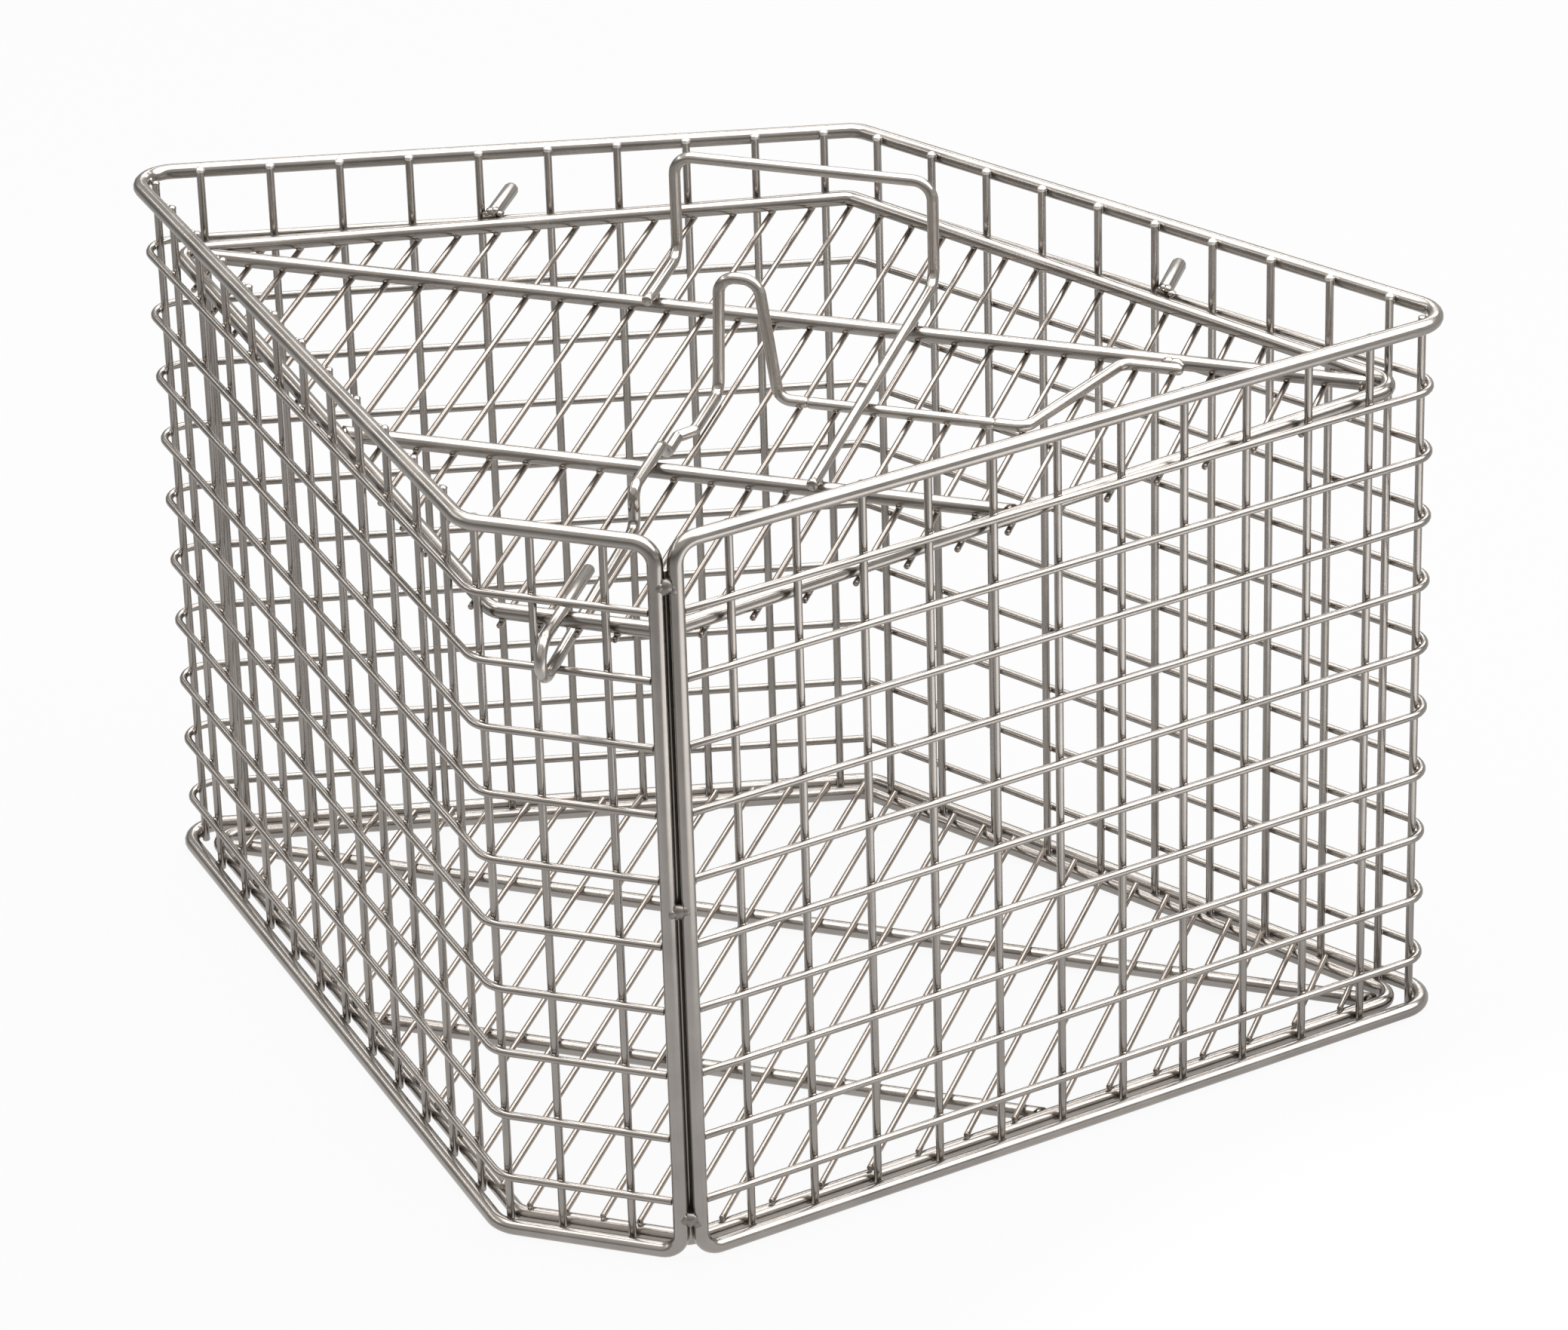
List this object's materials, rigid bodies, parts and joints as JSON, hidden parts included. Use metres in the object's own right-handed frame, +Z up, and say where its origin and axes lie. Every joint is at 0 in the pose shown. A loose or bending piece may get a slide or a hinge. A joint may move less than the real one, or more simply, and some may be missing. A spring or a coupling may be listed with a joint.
{
  "type": "wire basket",
  "caption": "Wedge-shaped welded wire basket with a hinged wire lid, a bail-like wire handle on the lid and a sprung wire latch with a finger loop.",
  "frame": {"origin": "centre of the overall box in plan, on the surface that the bottom rim rests on", "axes": "+Z up, -Y towards the narrow front edge where the latch hooks, +X to the right seen from the front"},
  "size_m": [0.546, 0.3982, 0.3358],
  "materials": {
    "frame_steel": "bright electropolished stainless steel",
    "mesh_steel": "bright electropolished stainless steel",
    "rod_steel": "bright electropolished stainless steel, slightly warm",
    "spring_steel": "bright electropolished stainless steel"
  },
  "bodies": {
    "basket": {"frame_wire": "frame_steel", "wall_uprights": "mesh_steel", "wall_hoop_01": "mesh_steel", "wall_hoop_02": "mesh_steel", "wall_hoop_03": "mesh_steel", "wall_hoop_04": "mesh_steel", "wall_hoop_05": "mesh_steel", "wall_hoop_07": "mesh_steel", "wall_hoop_08": "mesh_steel", "wall_hoop_09": "mesh_steel", "wall_hoop_10": "mesh_steel", "floor_ring": "frame_steel", "floor_rods": "rod_steel", "floor_crossbar": "frame_steel"},
    "lid": {"lid_ring": "frame_steel", "lid_rods": "rod_steel", "lid_crossbar": "frame_steel", "handle": "spring_steel", "hinge_pin_left": "frame_steel", "hinge_pin_right": "frame_steel", "latch_root": "spring_steel"},
    "latch_flex": {"latch_arm": "spring_steel"},
    "latch": {"latch_hook": "spring_steel"}
  },
  "joints": [
    {"name": "lid_hinge", "type": "hinge", "parent": "basket", "child": "lid", "pos_m": [0, 0.13613, 0.28191], "axis": [-0.9999, 0.0145, 0], "range_deg": [0, 11.5], "deforming": ["latch_hook"]},
    {"name": "latch_arm_flex", "type": "hinge", "parent": "lid", "child": "latch_flex", "pos_m": [0.11, 0.01346, 0.27748], "axis": [0, 0.0513, -0.9987], "range_deg": [0, 14.16], "stiffness_Nm_per_rad": 8},
    {"name": "latch_hook_flex", "type": "hinge", "parent": "latch_flex", "child": "latch", "pos_m": [0.034, 0.01346, 0.27748], "axis": [0, -0.0513, 0.9987], "range_deg": [0, 14.16]}
  ],
  "couplings": [
    {"joint": "latch_hook_flex", "follows": "latch_arm_flex", "ratio": 1}
  ]
}
